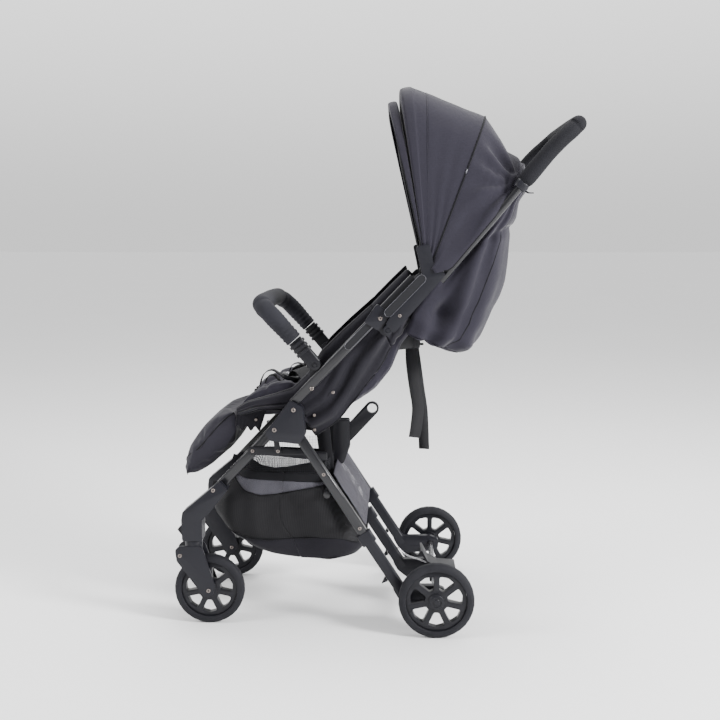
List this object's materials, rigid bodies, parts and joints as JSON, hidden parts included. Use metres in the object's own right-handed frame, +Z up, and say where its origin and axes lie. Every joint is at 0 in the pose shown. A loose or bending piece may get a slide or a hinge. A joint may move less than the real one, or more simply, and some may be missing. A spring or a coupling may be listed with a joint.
{
  "type": "baby stroller",
  "caption": "Compact folding baby stroller with swivelling front casters, reclining seat, bumper bar, folding canopy, U-shaped push handle and mesh basket.",
  "frame": {"origin": "on the ground under the middle of the overall box", "axes": "+Z up, -Y towards the front (calf rest), +X towards the stroller's left side, along the wheel axles"},
  "size_m": [0.444, 0.8145, 1.0834],
  "materials": {
    "black_tube": "semi-gloss black powder coat",
    "grey_plastic": "fine-grained moulded plastic",
    "black_plastic": "black moulded plastic",
    "tyre": "foam tyre",
    "steel": "plated steel",
    "grip_foam": "closed-cell foam",
    "grey_fabric": "woven polyester",
    "black_fabric": "webbing",
    "mesh_fabric": "knitted mesh with a woven floor"
  },
  "bodies": {
    "frame": {"joint_bracket_left": "grey_plastic", "joint_bracket_right": "grey_plastic", "lower_push_tube_left": "black_tube", "lower_push_tube_right": "black_tube", "rear_leg_tube_left": "black_tube", "rear_leg_tube_right": "black_tube", "latch_block_left": "grey_plastic", "latch_block_right": "grey_plastic", "bumper_mount_left": "black_plastic", "bumper_mount_right": "black_plastic", "rear_foot_left": "grey_plastic", "rear_foot_right": "grey_plastic", "rear_foot_centre": "grey_plastic", "centre_leg_tube": "black_tube", "cross_bar": "black_tube", "centre_post": "black_plastic", "rear_axle": "steel", "seat_pad": "grey_fabric", "basket": "mesh_fabric", "harness_buckle": "black_plastic"},
    "front_legs": {"front_leg_tube_left": "black_tube", "front_leg_tube_right": "black_tube", "caster_housing_left": "grey_plastic", "caster_housing_right": "grey_plastic"},
    "calf_rest": {"calf_rest": "grey_fabric"},
    "backrest": {"backrest": "grey_fabric", "recline_strap": "black_fabric"},
    "handle": {"handle_hub_left": "grey_plastic", "handle_hub_right": "grey_plastic", "push_handle_tube": "black_tube", "handle_grip": "grip_foam", "rear_pouch": "grey_fabric", "canopy_rear": "grey_fabric"},
    "rear_bow": {"rear_bow": "steel", "canopy_main": "grey_fabric"},
    "second_bow": {"second_bow": "steel", "canopy_visor": "grey_fabric"},
    "visor_bow": {"visor_bow": "steel"},
    "bumper": {"bumper_bar": "grip_foam", "bumper_socket_left": "black_plastic", "bumper_socket_right": "black_plastic"},
    "brake": {"brake_pedal": "black_plastic"},
    "release_lever": {"ring_lever": "black_plastic"},
    "caster_left": {"caster_fork_left": "grey_plastic"},
    "front_wheel_left": {"front_left_tyre": "tyre", "front_left_rim": "black_plastic"},
    "rear_wheel_left": {"rear_left_tyre": "tyre", "rear_left_rim": "black_plastic"},
    "swivel_lock_left": {"swivel_lock_left": "black_plastic"},
    "side_brace_left": {"side_brace_left": "black_plastic"},
    "curved_link_left": {"curved_link_left": "black_plastic"},
    "caster_right": {"caster_fork_right": "grey_plastic"},
    "front_wheel_right": {"front_right_tyre": "tyre", "front_right_rim": "black_plastic"},
    "rear_wheel_right": {"rear_right_tyre": "tyre", "rear_right_rim": "black_plastic"},
    "swivel_lock_right": {"swivel_lock_right": "black_plastic"},
    "side_brace_right": {"side_brace_right": "black_plastic"},
    "curved_link_right": {"curved_link_right": "black_plastic"}
  },
  "joints": [
    {"name": "front_leg_fold", "type": "hinge", "parent": "frame", "child": "front_legs", "pos_m": [0, -0.1952, 0.408], "axis": [1, 0, 0], "range_deg": [0, 50]},
    {"name": "handle_fold", "type": "hinge", "parent": "frame", "child": "handle", "pos_m": [0, 0.0278, 0.606], "axis": [1, 0, 0], "range_deg": [-110, 0], "deforming": ["rear_pouch"]},
    {"name": "canopy_fold", "type": "hinge", "parent": "handle", "child": "rear_bow", "pos_m": [0, 0.1033, 0.712], "axis": [1, 0, 0], "range_deg": [-15, 0], "deforming": ["canopy_rear", "canopy_main"]},
    {"name": "second_bow_fold", "type": "hinge", "parent": "rear_bow", "child": "second_bow", "pos_m": [0, 0.1033, 0.712], "axis": [1, 0, 0], "range_deg": [-21.5, 0]},
    {"name": "visor_open", "type": "hinge", "parent": "second_bow", "child": "visor_bow", "pos_m": [0, 0.1033, 0.712], "axis": [1, 0, 0], "range_deg": [-1.5, 18], "deforming": ["canopy_visor"]},
    {"name": "bumper_swing", "type": "hinge", "parent": "frame", "child": "bumper", "pos_m": [0, -0.1152, 0.537], "axis": [1, 0, 0], "range_deg": [0, 50]},
    {"name": "calf_rest_tilt", "type": "hinge", "parent": "frame", "child": "calf_rest", "pos_m": [0, -0.2772, 0.437], "axis": [1, 0, 0], "range_deg": [-50, 0]},
    {"name": "recline", "type": "hinge", "parent": "frame", "child": "backrest", "pos_m": [0, -0.1132, 0.436], "axis": [1, 0, 0], "range_deg": [-8, 0]},
    {"name": "brake_press", "type": "hinge", "parent": "frame", "child": "brake", "pos_m": [0.04, 0.1248, 0.075], "axis": [1, 0, 0], "range_deg": [-14, 0]},
    {"name": "lever_turn", "type": "hinge", "parent": "frame", "child": "release_lever", "pos_m": [0, -0.0612, 0.363], "axis": [1, 0, 0], "range_deg": [-40, 0]},
    {"name": "caster_swivel_left", "type": "hinge", "parent": "front_legs", "child": "caster_left", "pos_m": [0.145, -0.3667, 0.1743], "axis": [0, 0, 1], "continuous": true},
    {"name": "front_wheel_spin_left", "type": "hinge", "parent": "caster_left", "child": "front_wheel_left", "pos_m": [0.145, -0.3352, 0.0715], "axis": [1, 0, 0], "continuous": true},
    {"name": "rear_wheel_spin_left", "type": "hinge", "parent": "frame", "child": "rear_wheel_left", "pos_m": [0.21, 0.1248, 0.075], "axis": [1, 0, 0], "continuous": true},
    {"name": "swivel_lock_slide_left", "type": "slide", "parent": "front_legs", "child": "swivel_lock_left", "axis": [0, 0, 1], "range_m": [-0.005, 0]},
    {"name": "side_brace_turn_left", "type": "hinge", "parent": "front_legs", "child": "side_brace_left", "pos_m": [0.148, -0.2436, 0.3585], "axis": [1, 0, 0], "range_deg": [0, 18.5]},
    {"name": "curved_link_turn_left", "type": "hinge", "parent": "frame", "child": "curved_link_left", "pos_m": [0.152, -0.2016, 0.3894], "axis": [1, 0, 0], "range_deg": [0, 69]},
    {"name": "caster_swivel_right", "type": "hinge", "parent": "front_legs", "child": "caster_right", "pos_m": [-0.145, -0.3667, 0.1743], "axis": [0, 0, 1], "continuous": true},
    {"name": "front_wheel_spin_right", "type": "hinge", "parent": "caster_right", "child": "front_wheel_right", "pos_m": [-0.145, -0.3352, 0.0715], "axis": [1, 0, 0], "continuous": true},
    {"name": "rear_wheel_spin_right", "type": "hinge", "parent": "frame", "child": "rear_wheel_right", "pos_m": [-0.21, 0.1248, 0.075], "axis": [1, 0, 0], "continuous": true},
    {"name": "swivel_lock_slide_right", "type": "slide", "parent": "front_legs", "child": "swivel_lock_right", "axis": [0, 0, 1], "range_m": [-0.005, 0]},
    {"name": "side_brace_turn_right", "type": "hinge", "parent": "front_legs", "child": "side_brace_right", "pos_m": [-0.148, -0.2436, 0.3585], "axis": [1, 0, 0], "range_deg": [0, 18.5]},
    {"name": "curved_link_turn_right", "type": "hinge", "parent": "frame", "child": "curved_link_right", "pos_m": [-0.152, -0.2016, 0.3894], "axis": [1, 0, 0], "range_deg": [0, 69]}
  ],
  "couplings": [
    {"joint": "second_bow_fold", "follows": "canopy_fold", "ratio": 1.41},
    {"joint": "side_brace_turn_left", "follows": "front_leg_fold", "ratio": 0.36},
    {"joint": "curved_link_turn_left", "follows": "front_leg_fold", "ratio": 1.37},
    {"joint": "side_brace_turn_right", "follows": "front_leg_fold", "ratio": 0.36},
    {"joint": "curved_link_turn_right", "follows": "front_leg_fold", "ratio": 1.37}
  ]
}
